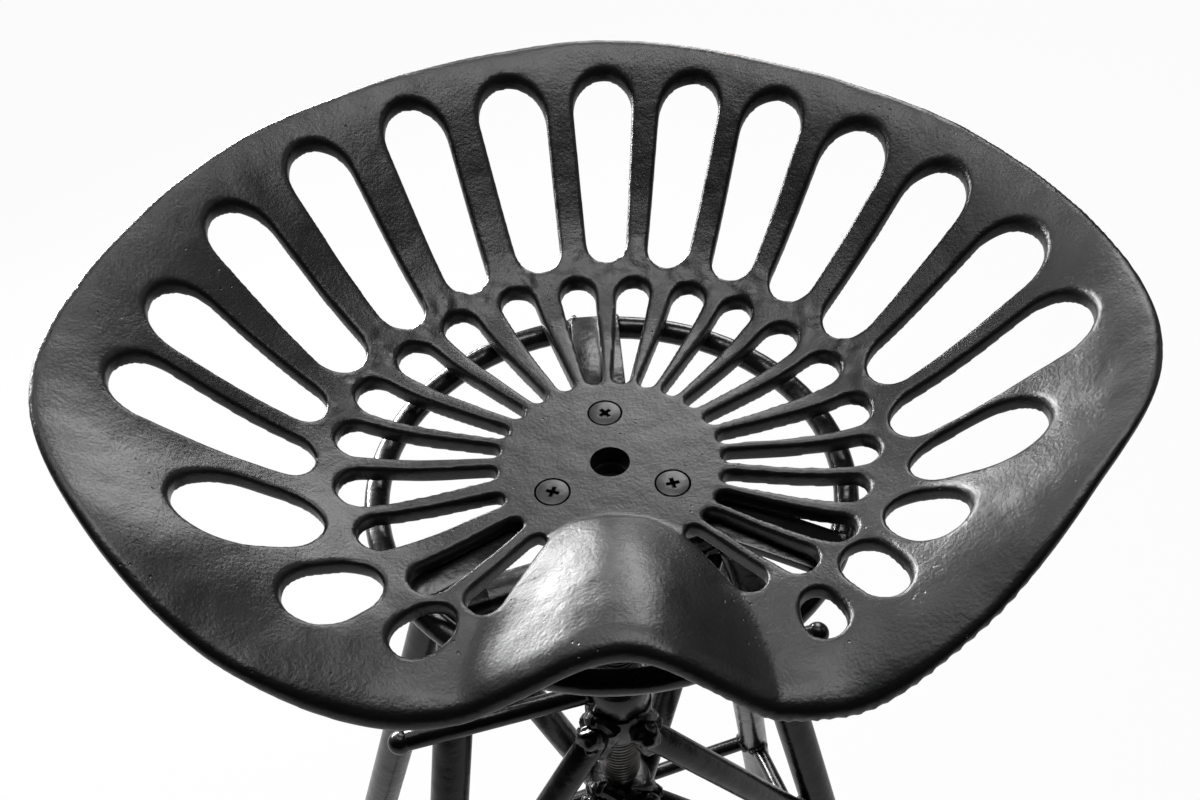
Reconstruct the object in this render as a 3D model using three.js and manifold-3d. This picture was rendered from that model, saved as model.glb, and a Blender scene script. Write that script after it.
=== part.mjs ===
// Tractor seat stool: a pierced cast iron seat on a screw spindle, carried by a welded tube base.
// Millimetres, +Z up. The origin is on the floor, midway between the four feet.
import * as THREE from "three";
import { mergeVertices } from "three/addons/utils/BufferGeometryUtils.js";
import Module from "manifold-3d";

const wasm = await Module();
wasm.setup();

// Overall sizes
const seatHeight = 700;
const runningGap = 0.3;
const cutOverrun = 20;
const roundSides = 16;
const boreSegments = 6;

// The spindle stands a little forward of the middle of the legs, under the hub of the seat
const spindleRight = 11;
const spindleForward = 46.5;

// Seat casting, measured from the middle of its hub
const castingThickness = 8;
const castingEdgeRadius = 3;
const hubFlatRadius = 60;
const rimRadius = 200;
const rimLift = 70;
const bowlRollShare = 2.2;
const hubHoleRadius = 6.5;

// Rim of the bowl: turn from the right in degrees, then radius and height as shares
const rimShares = [
  [-90, 0.526, 0],
  [-72, 0.597, 0],
  [-54, 0.708, 0],
  [-38, 0.798, 0.34],
  [-22, 0.882, 0.755],
  [-6, 0.985, 0.985],
  [14, 1, 0.98],
  [45, 0.959, 1.01],
  [90, 0.983, 1],
  [135, 0.99, 1.01],
  [165, 1.016, 1.005],
  [184, 1.039, 0.94],
  [202, 0.952, 0.765],
  [218, 0.848, 0.335],
  [234, 0.705, 0],
  [252, 0.578, 0],
];

// Stations of the casting's grid from the hub to the edge, as shares of the rim's radius
const stationShares = [0.16, 0.29, 0.4, 0.5, 0.6, 0.7, 0.8, 0.9];
const rimSteps = 54;

// Pommel, the hump between the sitter's thighs
const pommelRise = 24;
const pommelStart = 27;
const pommelLength = 88;
const pommelHalfWidth = 56;

// Outer slots: turn, distance and radius of the near end, then of the far end, with turns in degrees
// and the rest as shares of the rim's radius
const outerSlotShares = [
  [-45, 0.515, 0.035, -47, 0.55, 0.042],
  [-32.5, 0.545, 0.05, -35.5, 0.6, 0.044],
  [-20.5, 0.595, 0.055, -22, 0.63, 0.065],
  [-8.2, 0.635, 0.06, -8, 0.73, 0.082],
  [4.3, 0.616, 0.061, 5.8, 0.842, 0.08],
  [18.5, 0.62, 0.06, 19.6, 0.84, 0.08],
  [33.2, 0.612, 0.058, 34.7, 0.828, 0.074],
  [48, 0.608, 0.053, 49, 0.814, 0.076],
  [61.6, 0.599, 0.05, 63, 0.825, 0.07],
  [75.9, 0.6, 0.05, 76.1, 0.838, 0.07],
  [89.2, 0.605, 0.047, 89.3, 0.847, 0.069],
  [103.9, 0.603, 0.053, 103.2, 0.837, 0.078],
  [120.3, 0.6, 0.051, 118.3, 0.843, 0.072],
  [136.7, 0.601, 0.053, 134.1, 0.852, 0.072],
  [153, 0.628, 0.062, 149.9, 0.848, 0.074],
  [167.8, 0.625, 0.047, 166, 0.842, 0.074],
  [180.4, 0.625, 0.052, 178.3, 0.86, 0.073],
  [196.3, 0.637, 0.075, 195.3, 0.727, 0.094],
  [213, 0.566, 0.058, 213.3, 0.632, 0.068],
  [229, 0.497, 0.044, 228.5, 0.544, 0.048],
];

// Inner slots: turns of the near and the far end in degrees, then the distance and the radius of the
// far end as shares of the rim's radius
const slotSegments = 5;
const innerSlotStart = 48;
const innerSlotInner = 4;
const innerSlotShares = [
  [-50, -50, 0.385, 0.036],
  [-37, -37, 0.43, 0.038],
  [-24.5, -25, 0.465, 0.038],
  [-11.8, -12.3, 0.47, 0.037],
  [2, -0.9, 0.49, 0.041],
  [14.5, 11.8, 0.494, 0.045],
  [28, 26.7, 0.49, 0.045],
  [42.8, 41, 0.48, 0.044],
  [56.5, 55.2, 0.487, 0.039],
  [69.8, 68.3, 0.487, 0.039],
  [83, 82.6, 0.485, 0.039],
  [96.5, 96.8, 0.485, 0.041],
  [111.5, 112.4, 0.49, 0.041],
  [127, 128.5, 0.49, 0.043],
  [141.6, 143.5, 0.488, 0.048],
  [156.6, 158.7, 0.504, 0.048],
  [170, 172.1, 0.506, 0.046],
  [184.3, 186.6, 0.486, 0.051],
  [201.6, 201, 0.468, 0.047],
  [219, 219, 0.435, 0.042],
  [234, 234, 0.4, 0.038],
];

// Three countersunk screws hold the casting on the spider: name, then turn in degrees before the spider's
const screwTurnShares = [
  ["back", 90],
  ["left", 210],
  ["right", 330],
];
const screwCircleRadius = 27;
const screwRadius = 4;
const screwHeadRadius = 7.5;
const screwHeadDepth = 4;
const screwTailLength = 2.5;
const screwSides = 12;
const nutAcrossFlats = 13;
const nutHeight = 6.5;

// Spider under the casting: a plate, three flat straps and a round hoop
const spiderTurn = 3;
const plateRadius = 40;
const plateThickness = 5;
const strapWidth = 21;
const strapThickness = 4;
const hoopRadius = 94;
const hoopRodRadius = 5.6;
const hoopDrop = 16;
const hoopSteps = 36;
const hoopRodSides = 8;

// Spindle, with a thinner guide pin at its lower end
const spindleRadius = 10;
const shoulderAboveBush = 8;
const pinRadius = 6;
const riseUp = 45;
const stopGap = 1;
const stopWasherRadius = 12;
const stopWasherThickness = 3;
const stopBoltAcrossFlats = 13;
const stopBoltHeadHeight = 5;
const stopBoltRadius = 3;
const stopBoltLength = 16;

// Nut and bush that guide the spindle, and the lock nut with its two handles
const nutBodyRadius = 16;
const spindleNutDrop = 163.5;
const spindleNutHeight = 18;
const bushRadius = 15;
const bushBelowNut = 54.5;
const bushDrop = spindleNutDrop + spindleNutHeight + bushBelowNut;
const bushHeight = 40;
const lockNutRadius = 15;
const lockNutHeight = 17;
const handleTurn = 15;
const handleRadius = 4.8;
const handleReach = 109;
const handleBallRadius = 5.6;
const handleDrop = 155;

// Base: a top tube, two pairs of legs that meet under its ends, arms, braces and stretchers.
// Arms and braces start below the top of the nut or bush that they are welded to
const frameTurn = 19;
const tubeRadius = 9.5;
const tubeWall = 1.5;
const apexHalfSpan = 70;
const apexDrop = 123.5;
const apexOverhang = 11;
const legPairHalfGap = 14.7;
const footHalfSpan = 184;
const footHalfDepth = 132;
const armRadius = 8;
const upperArmBelow = 11.5;
const upperArmFootDrop = 345;
const lowerArmBelow = 2;
const lowerArmFootDrop = 384;
const braceBelow = 26;
const braceInset = 4;
const armAside = 8.5;
const armForward = 10;
const stretcherRadius = 5;
const stretcherDrop = 490;

// Ferrules on the feet
const ferruleWall = 3.2;
const ferruleLength = 32;
const ferruleFloor = 6;

// Paint and plastic
const castPaint = { color: 0x2b2b2c, roughness: 0.42, metalness: 0.25 };
const tubePaint = { color: 0x121213, roughness: 0.3, metalness: 0.2 };
const bareSteel = { color: 0x6f6f6d, roughness: 0.4, metalness: 0.8 };
const blackPlastic = { color: 0x161616, roughness: 0.7, metalness: 0 };

const up = new THREE.Vector3(0, 0, 1);
const degrees = THREE.MathUtils.degToRad;

const stool = new THREE.Group();

// Solids for cutting and joining

function toSolid(geometry) {
  const bare = geometry.index ? geometry.clone() : mergeVertices(geometry);
  bare.deleteAttribute("normal");
  bare.deleteAttribute("uv");
  const merged = mergeVertices(bare, runningGap / 1000);
  const mesh = new wasm.Mesh({
    numProp: 3,
    vertProperties: new Float32Array(merged.attributes.position.array),
    triVerts: new Uint32Array(merged.index.array),
  });
  return new wasm.Manifold(mesh);
}

function toGeometry(solid) {
  const mesh = solid.getMesh();
  const geometry = new THREE.BufferGeometry();
  geometry.setAttribute("position", new THREE.BufferAttribute(mesh.vertProperties, mesh.numProp));
  geometry.setIndex(new THREE.BufferAttribute(mesh.triVerts, 1));
  geometry.computeVertexNormals();
  return geometry;
}

function addMesh(group, name, geometry, paint) {
  const mesh = new THREE.Mesh(geometry, new THREE.MeshStandardMaterial(paint));
  mesh.name = name;
  group.add(mesh);
  return mesh;
}

// The largest piece that a cut leaves
function largest(solid) {
  const pieces = solid.decompose();
  pieces.sort((a, b) => b.volume() - a.volume());
  return pieces[0];
}

// Round pieces

// A body of revolution from [radius, height] pairs, with its axis along Z
function turned(outline, sides = roundSides) {
  const points = outline.map(([radius, height]) => new THREE.Vector2(radius, height));
  return new THREE.LatheGeometry(points, sides).rotateX(Math.PI / 2);
}

function ringOutline(inner, outer, low, high) {
  return [[inner, low], [outer, low], [outer, high], [inner, high], [inner, low]];
}

function pillar(radius, low, high) {
  return [[0, low], [radius, low], [radius, high], [0, high]];
}

// A hexagonal head or nut, with a round bore where one is given
function hexagon(acrossFlats, low, high, bore = 0) {
  const corner = acrossFlats / 2 / Math.cos(Math.PI / 6);
  const shape = new THREE.Shape();
  shape.absarc(0, 0, corner, 0, 2 * Math.PI, false);
  const corners = shape.getSpacedPoints(6).slice(0, 6);
  const outline = new THREE.Shape(corners);
  if (bore > 0) {
    outline.holes.push(new THREE.Path().absarc(0, 0, bore, 0, 2 * Math.PI, true));
  }
  const settings = { depth: high - low, bevelEnabled: false, curveSegments: boreSegments };
  return new THREE.ExtrudeGeometry(outline, settings).translate(0, 0, low);
}

// Lays a geometry made along Z from the origin so that it starts at one point and runs to another
function along(geometry, from, to) {
  const direction = to.clone().sub(from).normalize();
  const turn = new THREE.Quaternion().setFromUnitVectors(up, direction);
  return geometry.applyQuaternion(turn).translate(from.x, from.y, from.z);
}

function rod(from, to, radius) {
  const length = from.distanceTo(to);
  return along(turned(pillar(radius, 0, length)), from, to);
}

function tube(from, to, radius) {
  const length = from.distanceTo(to);
  return along(turned(ringOutline(radius - tubeWall, radius, 0, length)), from, to);
}

// The same tube as a solid that other tubes are cut to fit, with the gap that painted joints keep
function clearance(from, to, radius) {
  return toSolid(rod(from, to, radius + runningGap));
}

function cutTo(solid, neighbours) {
  return largest(neighbours.reduce((left, neighbour) => left.subtract(neighbour), solid));
}

// Base, in places measured across and back along its own turned axes

const frameCos = Math.cos(degrees(frameTurn));
const frameSin = Math.sin(degrees(frameTurn));

function framePoint(across, back, height) {
  return new THREE.Vector3(across * frameCos - back * frameSin, across * frameSin + back * frameCos, height);
}

function spindlePoint(drop) {
  return new THREE.Vector3(spindleRight, -spindleForward, seatHeight - drop);
}

const apexHeight = seatHeight - apexDrop;
const legs = [
  { name: "leg_back_left", side: -1, way: 1 },
  { name: "leg_front_left", side: -1, way: -1 },
  { name: "leg_back_right", side: 1, way: 1 },
  { name: "leg_front_right", side: 1, way: -1 },
];
for (const leg of legs) {
  leg.top = framePoint(leg.side * apexHalfSpan, leg.way * legPairHalfGap, apexHeight);
  leg.foot = framePoint(leg.side * footHalfSpan, leg.way * footHalfDepth, 0);
  leg.direction = leg.foot.clone().sub(leg.top).normalize();
}

function legPoint(leg, drop) {
  return leg.top.clone().lerp(leg.foot, (drop - apexDrop) / apexHeight);
}

const legEndShare = 1 - ferruleFloor / apexHeight;
const topTubeStart = framePoint(-apexHalfSpan - apexOverhang, 0, apexHeight);
const topTubeEnd = framePoint(apexHalfSpan + apexOverhang, 0, apexHeight);
const topTubeRoom = clearance(topTubeStart, topTubeEnd, tubeRadius);
const spindleNutEnd = spindlePoint(spindleNutDrop + spindleNutHeight);
const bushEnd = spindlePoint(bushDrop + bushHeight);

// A cylinder round the spindle that the arms and braces are cut to, past both ends of what it holds
function barrelRoom(drop, height, radius) {
  return clearance(spindlePoint(drop - cutOverrun), spindlePoint(drop + height + cutOverrun), radius);
}

const spindleNutRoom = barrelRoom(spindleNutDrop, spindleNutHeight, nutBodyRadius);
const bushRoom = barrelRoom(bushDrop, bushHeight, bushRadius);

function addLegs(group) {
  for (const leg of legs) {
    const end = leg.top.clone().lerp(leg.foot, legEndShare);
    const solid = toSolid(tube(leg.top, end, tubeRadius));
    addMesh(group, leg.name, toGeometry(cutTo(solid, [topTubeRoom])), tubePaint);
    leg.room = clearance(leg.top, leg.foot, tubeRadius);
  }
}

// A ferrule round the foot of a leg, cut level with the floor
function addFerrules(group) {
  const outer = tubeRadius + runningGap + ferruleWall;
  const reach = ferruleLength + cutOverrun;
  for (const leg of legs) {
    const high = leg.foot.clone().addScaledVector(leg.direction, -ferruleLength);
    const low = leg.foot.clone().addScaledVector(leg.direction, cutOverrun);
    const end = leg.top.clone().lerp(leg.foot, legEndShare).addScaledVector(leg.direction, runningGap);
    const past = end.clone().addScaledVector(leg.direction, -reach);
    const bore = clearance(past, end, tubeRadius);
    const floor = new THREE.BoxGeometry(reach * 2, reach * 2, reach);
    floor.translate(leg.foot.x, leg.foot.y, -reach / 2);
    const cup = toSolid(rod(high, low, outer)).subtract(bore).subtract(toSolid(floor));
    addMesh(group, leg.name.replace("leg", "foot"), toGeometry(largest(cup)), blackPlastic);
  }
}

function addTopTube(group) {
  addMesh(group, "top_tube", tube(topTubeStart, topTubeEnd, tubeRadius), tubePaint);
}

// The nut that the spindle screws through and the bush that its pin slides in
function addGuides(group) {
  const nutBore = spindleRadius + runningGap;
  const bushBore = pinRadius + runningGap;
  const nut = turned(ringOutline(nutBore, nutBodyRadius, 0, spindleNutHeight));
  const bush = turned(ringOutline(bushBore, bushRadius, 0, bushHeight));
  addMesh(group, "spindle_nut", nut, tubePaint).position.copy(spindleNutEnd);
  addMesh(group, "guide_bush", bush, tubePaint).position.copy(bushEnd);
}

// Braces rise from the back of the bush to the top tube, and arms fall from the front of nut and bush
function addArms(group) {
  const hold = apexHalfSpan - braceInset;
  for (const side of [-1, 1]) {
    const pair = legs.filter((leg) => leg.side === side);
    const front = pair.find((leg) => leg.way === -1);
    const hand = side < 0 ? "left" : "right";
    const legRooms = pair.map((leg) => leg.room);
    const beside = (forward, drop) => {
      const middle = spindlePoint(drop);
      return middle.setX(middle.x + side * armAside).setY(middle.y - forward);
    };
    const braceStart = beside(-armForward, bushDrop + braceBelow);
    const braceEnd = framePoint(side * hold, 0, apexHeight);
    const brace = toSolid(tube(braceStart, braceEnd, armRadius));
    const braceRoom = clearance(braceStart, braceEnd, armRadius);
    const upperStart = beside(armForward, spindleNutDrop + upperArmBelow);
    const lowerStart = beside(armForward, bushDrop + lowerArmBelow);
    const upperEnd = legPoint(front, upperArmFootDrop);
    const upper = toSolid(tube(upperStart, upperEnd, armRadius));
    const lower = toSolid(tube(lowerStart, legPoint(front, lowerArmFootDrop), armRadius));
    const braceCuts = [bushRoom, topTubeRoom, ...legRooms];
    const upperRoom = clearance(upperStart, upperEnd, armRadius);
    const lowerCuts = [bushRoom, front.room, braceRoom, upperRoom];
    addMesh(group, `brace_${hand}`, toGeometry(cutTo(brace, braceCuts)), tubePaint);
    addMesh(group, `upper_arm_${hand}`, toGeometry(cutTo(upper, [spindleNutRoom, front.room])), tubePaint);
    addMesh(group, `lower_arm_${hand}`, toGeometry(cutTo(lower, lowerCuts)), tubePaint);
  }
}

function addStretchers(group) {
  const [backLeft, frontLeft, backRight, frontRight] = legs;
  const runs = [
    ["stretcher_back", backLeft, backRight],
    ["stretcher_front", frontLeft, frontRight],
    ["stretcher_left", backLeft, frontLeft],
    ["stretcher_right", backRight, frontRight],
  ];
  for (const [name, one, other] of runs) {
    const solid = toSolid(rod(legPoint(one, stretcherDrop), legPoint(other, stretcherDrop), stretcherRadius));
    addMesh(group, name, toGeometry(cutTo(solid, [one.room, other.room])), tubePaint);
  }
}

// Lock nut on the spindle, jammed down on the spindle nut by its two handles

function addLock(group) {
  const bore = spindleRadius + runningGap;
  const foot = seatHeight - spindleNutDrop + runningGap;
  const nut = turned(ringOutline(bore, lockNutRadius, 0, lockNutHeight));
  addMesh(group, "lock_nut", nut, tubePaint).position.z = foot;
  const arc = Math.sqrt(handleBallRadius ** 2 - handleRadius ** 2);
  const centre = handleReach - handleBallRadius;
  const ball = [];
  const firstTurn = Math.atan2(-arc, handleRadius);
  const ballSteps = 5;
  for (let step = 0; step <= ballSteps; step += 1) {
    const turn = THREE.MathUtils.lerp(firstTurn, Math.PI / 2, step / ballSteps);
    const radius = step === ballSteps ? 0 : handleBallRadius * Math.cos(turn);
    ball.push([radius, centre + handleBallRadius * Math.sin(turn)]);
  }
  for (const [name, turn] of [["lock_handle_right", 0], ["lock_handle_left", Math.PI]]) {
    const start = new THREE.Vector3(0, 0, 0);
    const end = new THREE.Vector3(Math.cos(turn), Math.sin(turn), 0);
    const bar = along(turned([[0, 0], [handleRadius, 0], ...ball]), start, end);
    const room = toSolid(turned(pillar(lockNutRadius + runningGap, -cutOverrun, cutOverrun)));
    const handle = addMesh(group, name, toGeometry(cutTo(toSolid(bar), [room])), tubePaint);
    handle.position.z = seatHeight - handleDrop;
    handle.rotation.z = degrees(handleTurn);
  }
}

// Spindle with its guide pin, and the washer and bolt that stop it at the top of its travel

const castingFoot = seatHeight - castingThickness;
const plateTop = castingFoot - runningGap;
const plateFoot = plateTop - plateThickness;
const pinEnd = seatHeight - bushDrop - bushHeight - riseUp - stopGap;

function addSpindle(group) {
  const shoulder = seatHeight - bushDrop + shoulderAboveBush;
  const top = plateFoot - runningGap;
  const boltRoom = stopBoltRadius + runningGap;
  const boltDeep = pinEnd + stopBoltLength;
  const spindle = turned([
    [0, boltDeep],
    [boltRoom, boltDeep],
    [boltRoom, pinEnd],
    [pinRadius, pinEnd],
    [pinRadius, shoulder],
    [spindleRadius, shoulder],
    [spindleRadius, top],
    [0, top],
  ]);
  addMesh(group, "spindle", spindle, bareSteel);
  const washerTop = pinEnd - runningGap;
  const washerFoot = washerTop - stopWasherThickness;
  const washer = turned(ringOutline(boltRoom, stopWasherRadius, washerFoot, washerTop));
  addMesh(group, "stop_washer", washer, bareSteel);
  const headTop = washerFoot - runningGap;
  const headFoot = headTop - stopBoltHeadHeight;
  const head = toSolid(hexagon(stopBoltAcrossFlats, headFoot, headTop));
  const shank = toSolid(turned(pillar(stopBoltRadius, headFoot, boltDeep - runningGap)));
  addMesh(group, "stop_bolt", toGeometry(head.add(shank)), bareSteel);
}

// Spider, bolted under the casting and welded on the spindle

function screwTurns() {
  return screwTurnShares.map(([name, turn]) => [name, degrees(turn + spiderTurn)]);
}

function screwPlace(turn) {
  return new THREE.Vector3(screwCircleRadius * Math.cos(turn), screwCircleRadius * Math.sin(turn), 0);
}

// Moves a geometry made round the spindle's axis out to a screw, as a solid
function atScrew(geometry, turn) {
  const place = screwPlace(turn);
  return toSolid(geometry.translate(place.x, place.y, place.z));
}

function hoopGeometry(radius) {
  const outline = [];
  for (let side = 0; side <= hoopRodSides; side += 1) {
    const turn = (2 * Math.PI * (side % hoopRodSides)) / hoopRodSides;
    outline.push([hoopRadius + radius * Math.cos(turn), seatHeight - hoopDrop + radius * Math.sin(turn)]);
  }
  return turned(outline, hoopSteps);
}

function addSpider(group) {
  let plate = toSolid(turned(ringOutline(hubHoleRadius, plateRadius, plateFoot, plateTop), hoopSteps));
  for (const [, turn] of screwTurns()) {
    const hole = pillar(screwRadius + runningGap, plateFoot - cutOverrun, plateTop + cutOverrun);
    plate = plate.subtract(atScrew(turned(hole, screwSides), turn));
  }
  addMesh(group, "spider_plate", toGeometry(plate), tubePaint);
  const hoopRoom = toSolid(hoopGeometry(hoopRodRadius + runningGap));
  const plateEdge = plateRadius + runningGap;
  const plateBar = pillar(plateEdge, plateFoot - cutOverrun, plateTop + cutOverrun);
  const plateRoom = toSolid(turned(plateBar, hoopSteps));
  const length = hoopRadius + hoopRodRadius / 2;
  for (const [name, turn] of screwTurns()) {
    const strap = new THREE.BoxGeometry(length, strapWidth, strapThickness);
    strap.translate(length / 2, 0, plateTop - strapThickness / 2);
    strap.rotateZ(turn);
    const cut = cutTo(toSolid(strap), [plateRoom, hoopRoom]);
    addMesh(group, `spider_strap_${name}`, toGeometry(cut), tubePaint);
  }
  addMesh(group, "spider_hoop", hoopGeometry(hoopRodRadius), tubePaint);
}

function addScrews(group) {
  const nutTop = plateFoot - runningGap;
  const nutFoot = nutTop - nutHeight;
  const tail = nutFoot - screwTailLength;
  const screw = turned([
    [0, tail],
    [screwRadius, tail],
    [screwRadius, seatHeight - screwHeadDepth],
    [screwHeadRadius, seatHeight],
    [0, seatHeight],
  ], screwSides);
  const nut = hexagon(nutAcrossFlats, nutFoot, nutTop, screwRadius + runningGap);
  for (const [name, turn] of screwTurns()) {
    const place = screwPlace(turn);
    addMesh(group, `seat_screw_${name}`, screw.clone(), tubePaint).position.copy(place);
    addMesh(group, `seat_nut_${name}`, nut.clone(), bareSteel).position.copy(place);
  }
}

// Seat casting: a bowl that rises from a flat hub to its rim, with a pommel and two rings of slots

const rimCurve = new THREE.CatmullRomCurve3(
  rimShares.map(([turn, radiusShare, liftShare]) => {
    const radius = radiusShare * rimRadius;
    const angle = degrees(turn);
    return new THREE.Vector3(radius * Math.cos(angle), radius * Math.sin(angle), liftShare * rimLift);
  }),
  true,
  "centripetal",
);

// Height of the pommel over a place on the seat: an ellipse in plan, a rounded hump across
function pommelHeight(x, y) {
  const run = (-y - pommelStart) / pommelLength;
  if (run <= 0) {
    return 0;
  }
  const share = Math.min(run, 1);
  const bulge = share * (2 - share);
  const across = Math.abs(x) / (pommelHalfWidth * Math.sqrt(bulge));
  if (across >= 1) {
    return 0;
  }
  return pommelRise * bulge * Math.cos((Math.PI / 2) * across) ** 2;
}

// The bowl is flat over the hub, then curves up and rolls out again towards the rim
function bowlShare(radius, rim) {
  const run = Math.max(0, (radius - hubFlatRadius) / (rim - hubFlatRadius));
  return run ** 3 * (1 + bowlRollShare * (1 - run));
}

function castingPoint(rimPoint, radius) {
  const rim = Math.hypot(rimPoint.x, rimPoint.y);
  const x = (rimPoint.x * radius) / rim;
  const y = (rimPoint.y * radius) / rim;
  const z = rimPoint.z * bowlShare(radius, rim) + pommelHeight(x, y);
  return new THREE.Vector3(x, y, z);
}

// Rings of the casting from the middle of its top, round the edge, to the middle of its underside
function castingRing(rimPoint) {
  const rim = Math.hypot(rimPoint.x, rimPoint.y);
  const half = castingThickness / 2;
  const inset = castingEdgeRadius;
  const soft = inset * (1 - Math.SQRT1_2);
  const edge = [
    [inset, 0],
    [soft, soft],
    [0, half],
    [soft, castingThickness - soft],
    [inset, castingThickness],
  ];
  const top = stationShares.map((share) => [rim * (1 - share), 0]);
  const foot = stationShares.map((share) => [rim * (1 - share), castingThickness]).reverse();
  return [...top, ...edge, ...foot].map(([fromRim, drop]) => {
    const point = castingPoint(rimPoint, rim - fromRim);
    return point.setZ(point.z - drop);
  });
}

function castingGeometry() {
  const positions = [0, 0, 0, 0, 0, -castingThickness];
  const index = [];
  let rings = 0;
  for (let step = 0; step < rimSteps; step += 1) {
    const ring = castingRing(rimCurve.getPointAt(step / rimSteps));
    rings = ring.length;
    for (const point of ring) {
      positions.push(point.x, point.y, point.z);
    }
  }
  const at = (step, ring) => 2 + (step % rimSteps) * rings + ring;
  for (let step = 0; step < rimSteps; step += 1) {
    index.push(0, at(step, 0), at(step + 1, 0));
    index.push(1, at(step + 1, rings - 1), at(step, rings - 1));
    for (let ring = 0; ring < rings - 1; ring += 1) {
      index.push(at(step, ring), at(step, ring + 1), at(step + 1, ring + 1));
      index.push(at(step, ring), at(step + 1, ring + 1), at(step + 1, ring));
    }
  }
  const geometry = new THREE.BufferGeometry();
  geometry.setAttribute("position", new THREE.Float32BufferAttribute(positions, 3));
  geometry.setIndex(index);
  return geometry;
}

// The middle of a slot's end, from its turn in degrees and its distance from the hub
function slotEnd(turn, distance) {
  return new THREE.Vector2(distance, 0).rotateAround(new THREE.Vector2(), degrees(turn));
}

// An upright cutter for a slot with round ends of two sizes
function slotCutter(near, far, nearRadius, farRadius) {
  const run = far.clone().sub(near);
  const length = run.length();
  const lean = Math.asin((farRadius - nearRadius) / length);
  const quarter = Math.PI / 2;
  const shape = new THREE.Shape();
  shape.absarc(length, 0, farRadius, -quarter - lean, quarter + lean, false);
  shape.absarc(0, 0, nearRadius, quarter + lean, 3 * quarter - lean, false);
  const height = rimLift + 2 * cutOverrun;
  const settings = { depth: height, bevelEnabled: false, curveSegments: slotSegments };
  const cutter = new THREE.ExtrudeGeometry(shape, settings).rotateZ(run.angle());
  return toSolid(cutter.translate(near.x, near.y, -cutOverrun));
}

function slotCutters() {
  const outer = outerSlotShares.map(([nearTurn, near, nearSize, farTurn, far, farSize]) => {
    const ends = [slotEnd(nearTurn, near * rimRadius), slotEnd(farTurn, far * rimRadius)];
    return slotCutter(...ends, nearSize * rimRadius, farSize * rimRadius);
  });
  const inner = innerSlotShares.map(([nearTurn, farTurn, far, farSize]) => {
    const ends = [slotEnd(nearTurn, innerSlotStart), slotEnd(farTurn, far * rimRadius)];
    return slotCutter(...ends, innerSlotInner, farSize * rimRadius);
  });
  return [...outer, ...inner];
}

function addCasting(group) {
  let casting = toSolid(castingGeometry());
  for (const cutter of slotCutters()) {
    casting = casting.subtract(cutter);
  }
  const hubBore = turned(pillar(hubHoleRadius, -cutOverrun, cutOverrun));
  casting = casting.subtract(toSolid(hubBore));
  for (const [, turn] of screwTurns()) {
    const headRoom = screwHeadRadius + runningGap;
    const sink = turned([
      [0, -cutOverrun],
      [screwRadius + runningGap, -cutOverrun],
      [screwRadius + runningGap, -screwHeadDepth],
      [headRoom, -runningGap],
      [headRoom, cutOverrun],
      [0, cutOverrun],
    ], screwSides);
    casting = casting.subtract(atScrew(sink, turn));
  }
  addMesh(group, "seat_casting", toGeometry(casting), castPaint).position.z = seatHeight;
}

// Assembly

function buildBase() {
  const base = new THREE.Group();
  addLegs(base);
  addFerrules(base);
  addTopTube(base);
  addGuides(base);
  addArms(base);
  addStretchers(base);
  return base;
}

function buildTurningParts() {
  const column = new THREE.Group();
  column.position.set(spindleRight, -spindleForward, 0);
  addLock(column);
  addSpindle(column);
  addSpider(column);
  addScrews(column);
  addCasting(column);
  return column;
}

stool.add(buildBase(), buildTurningParts());

export default stool;
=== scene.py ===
import math

import bpy
import numpy as np
from mathutils import Matrix, Vector, noise


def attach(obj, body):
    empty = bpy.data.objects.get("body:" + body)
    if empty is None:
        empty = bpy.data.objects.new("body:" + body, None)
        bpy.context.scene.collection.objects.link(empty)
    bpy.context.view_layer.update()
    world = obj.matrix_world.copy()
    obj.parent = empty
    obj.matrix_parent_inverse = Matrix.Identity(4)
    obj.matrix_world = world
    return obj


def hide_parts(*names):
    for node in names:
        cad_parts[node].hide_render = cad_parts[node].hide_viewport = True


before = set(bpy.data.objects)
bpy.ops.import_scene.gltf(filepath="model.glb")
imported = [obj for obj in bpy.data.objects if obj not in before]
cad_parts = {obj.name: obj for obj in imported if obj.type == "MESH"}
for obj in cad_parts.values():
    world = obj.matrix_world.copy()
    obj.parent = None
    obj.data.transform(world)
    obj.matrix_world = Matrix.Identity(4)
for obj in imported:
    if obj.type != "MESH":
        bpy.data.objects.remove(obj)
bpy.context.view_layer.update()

# Tractor seat stool. Metres, +Z up, in the CAD's frame: the floor is at z = 0 and the front edge of
# the seat is towards -Y

up = Vector((0, 0, 1))


# Finishes


class Wire:
    # A socket of a finish, with which sums can be written as they are said
    def __init__(self, finish, socket):
        self.finish = finish
        self.socket = socket

    def calc(self, operation, first, second):
        return self.finish.add("ShaderNodeMath", {"operation": operation}, {0: first, 1: second})

    def __add__(self, other):
        return self.calc("ADD", self, other)

    def __radd__(self, other):
        return self.calc("ADD", other, self)

    def __sub__(self, other):
        return self.calc("SUBTRACT", self, other)

    def __rsub__(self, other):
        return self.calc("SUBTRACT", other, self)

    def __mul__(self, other):
        return self.calc("MULTIPLY", self, other)

    def __rmul__(self, other):
        return self.calc("MULTIPLY", other, self)


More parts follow.
